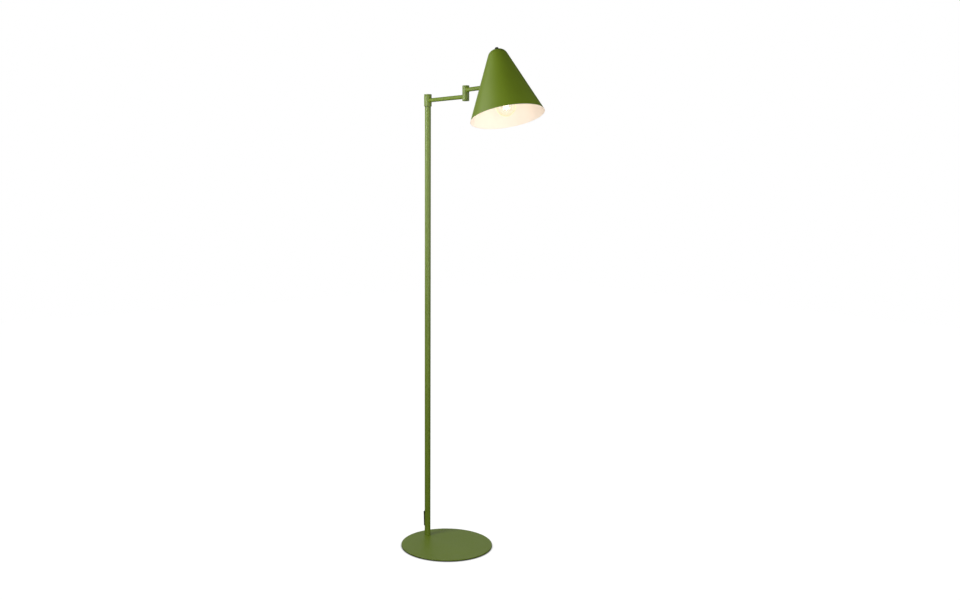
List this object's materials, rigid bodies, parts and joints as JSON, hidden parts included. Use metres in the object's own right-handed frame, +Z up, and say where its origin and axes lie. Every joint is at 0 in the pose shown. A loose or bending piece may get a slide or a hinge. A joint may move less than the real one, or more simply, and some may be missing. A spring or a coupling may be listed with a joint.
{
  "type": "adjustable arm floor lamp",
  "caption": "Floor lamp with a round flat base, an offset upright pole, a jointed two-part swing arm and a tilting conical shade with a bulb.",
  "frame": {"origin": "centre of the base's underside, on the surface the lamp stands on", "axes": "+Z up along the pole, +X from the pole towards the shade with the arms straight, +Y to the left of that"},
  "size_m": [0.5298, 0.28, 1.4842],
  "materials": {
    "green_paint": "satin powder coat, olive green",
    "shade_paint": "satin powder coat, olive green outside and warm white inside",
    "pad_rubber": "matte",
    "zinc_steel": "zinc plated",
    "black_plastic": "satin black",
    "nylon": "matte",
    "lead_sheath": "smooth white silicone sheath",
    "brass": "plain",
    "ceramic": "glazed",
    "bulb_glass": "softly frosted",
    "cap_metal": "plain",
    "filament": "glowing warm white"
  },
  "bodies": {
    "stand": {"base_pad": "pad_rubber", "base_plate": "green_paint", "base_bolt": "zinc_steel", "pole_foot_insert": "zinc_steel", "pole_tube": "green_paint", "cord_gland": "black_plastic", "pole_lead": "lead_sheath", "pole_spigot": "zinc_steel", "collar_lower_washer": "nylon", "collar_upper_washer": "nylon", "collar_lock_nut": "zinc_steel"},
    "first_arm": {"arm1_collar": "green_paint", "collar_cap": "green_paint", "arm1_tube": "green_paint", "arm1_lead": "lead_sheath", "elbow_lower_barrel": "green_paint", "elbow_bottom_cap": "green_paint", "elbow_nipple": "zinc_steel", "elbow_lower_nut": "zinc_steel", "elbow_upper_nut": "zinc_steel", "elbow_washer": "nylon"},
    "second_arm": {"elbow_upper_barrel": "green_paint", "elbow_top_cap": "green_paint", "arm2_tube": "green_paint", "arm2_lead": "lead_sheath", "tilt_barrel": "green_paint"},
    "shade": {"tilt_yoke": "green_paint", "tilt_screw_left": "zinc_steel", "tilt_screw_right": "zinc_steel", "tilt_washer_left": "nylon", "tilt_washer_right": "nylon", "yoke_spacer": "black_plastic", "yoke_inner_washer": "zinc_steel", "yoke_nut": "zinc_steel", "shade_shell": "shade_paint", "shade_cap_washer": "black_plastic", "shade_cap_nut": "black_plastic", "holder_rod": "zinc_steel", "rod_inner_washer": "zinc_steel", "rod_inner_nut": "zinc_steel", "holder_cap": "black_plastic", "holder_skirt": "black_plastic", "holder_sleeve": "brass", "holder_insert": "ceramic", "holder_contact": "brass", "shade_lead": "lead_sheath", "bulb_envelope": "bulb_glass", "bulb_cap": "cap_metal", "bulb_contact": "brass", "bulb_stem": "bulb_glass", "bulb_filament": "filament"}
  },
  "joints": [
    {"name": "arm_swing", "type": "hinge", "parent": "stand", "child": "first_arm", "pos_m": [-0.1, 0, 1.3615], "axis": [0, 0, 1], "range_deg": [-170, 170]},
    {"name": "elbow_swing", "type": "hinge", "parent": "first_arm", "child": "second_arm", "pos_m": [0.084, 0, 1.371], "axis": [0, 0, 1], "range_deg": [-130, 140]},
    {"name": "shade_tilt", "type": "hinge", "parent": "second_arm", "child": "shade", "pos_m": [0.18752, -0.00997, 1.3805], "axis": [-0.0958, -0.9954, 0], "range_deg": [-35, 65]}
  ]
}
